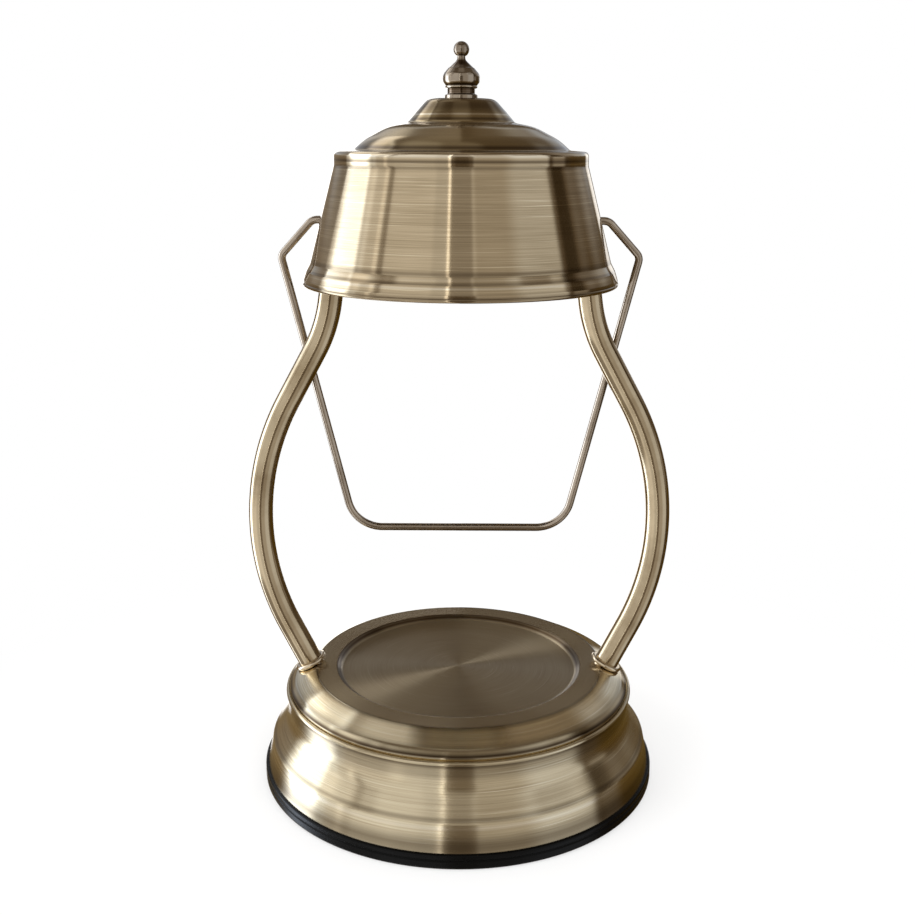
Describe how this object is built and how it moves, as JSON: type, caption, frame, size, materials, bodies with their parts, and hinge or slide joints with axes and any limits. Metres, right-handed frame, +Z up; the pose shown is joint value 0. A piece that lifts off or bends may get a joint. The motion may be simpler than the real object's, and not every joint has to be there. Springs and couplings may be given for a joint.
{
  "type": "candle warmer lamp",
  "caption": "Lantern-shaped candle warmer lamp: round footed base with a recessed jar plate, bent tube posts, a bell shade over a reflector bulb, a finial and a swinging wire bail.",
  "frame": {"origin": "on the floor, under the middle of the round base", "axes": "+Z up through the finial; the posts stand to either side along X; the front is -Y and the supply cord enters at +Y"},
  "size_m": [0.1768, 0.165, 0.3043],
  "materials": {
    "antique_brass": "spun, brushed and lacquered antique brass plate over steel",
    "post_brass": "satin antique brass plate over steel tube",
    "dark_bronze": "turned, darker antique bronze",
    "wire_brass": "bright drawn wire, lightly plated",
    "black_rubber": "satin black",
    "plain_steel": "zinc plated",
    "cast_iron": "as cast",
    "white_ceramic": "unglazed",
    "plain_brass": "plain",
    "reflector_glass": "mirror coated inside",
    "clear_glass": "clear",
    "black_plastic": "moulded",
    "white_plastic": "moulded",
    "brown_insulation": "heat resistant sleeve",
    "blue_insulation": "heat resistant sleeve"
  },
  "bodies": {
    "lamp": {"foot_ring": "black_rubber", "bottom_plate": "plain_steel", "ballast_disc": "cast_iron", "base_skirt": "antique_brass", "base_cover": "antique_brass", "tie_stud": "plain_steel", "ballast_nut": "plain_steel", "base_washer": "plain_steel", "base_nut": "plain_steel", "left_post": "post_brass", "right_post": "post_brass", "left_collar": "post_brass", "right_collar": "post_brass", "saddle_washers": "plain_steel", "foot_ring_nuts": "plain_steel", "yoke_strap": "plain_steel", "yoke_ring_nuts": "plain_steel", "shade_stud": "plain_steel", "stud_nuts": "plain_steel", "shade_washer": "plain_steel", "shade": "antique_brass", "finial": "dark_bronze", "lamp_holder": "white_ceramic", "holder_contacts": "plain_brass", "holder_spacers": "plain_steel", "holder_screws": "plain_steel", "cord_bush": "black_plastic", "terminal_block": "white_plastic", "terminal_screws": "plain_steel", "live_lead": "brown_insulation", "neutral_lead": "blue_insulation"},
    "bail": {"bail_handle": "wire_brass"},
    "bulb": {"bulb_reflector": "reflector_glass", "bulb_lens": "clear_glass", "bulb_cap": "white_ceramic", "bulb_pins": "plain_steel", "bulb_capsule": "clear_glass"}
  },
  "joints": [
    {"name": "bail_hinge", "type": "hinge", "parent": "lamp", "child": "bail", "pos_m": [0, 0, 0.2339], "axis": [1, 0, 0], "range_deg": [0, 346.4]},
    {"name": "bulb_twist", "type": "hinge", "parent": "lamp", "child": "bulb", "pos_m": [0, 0, 0.2531], "axis": [0, 0, -1], "range_deg": [0, 30]}
  ]
}
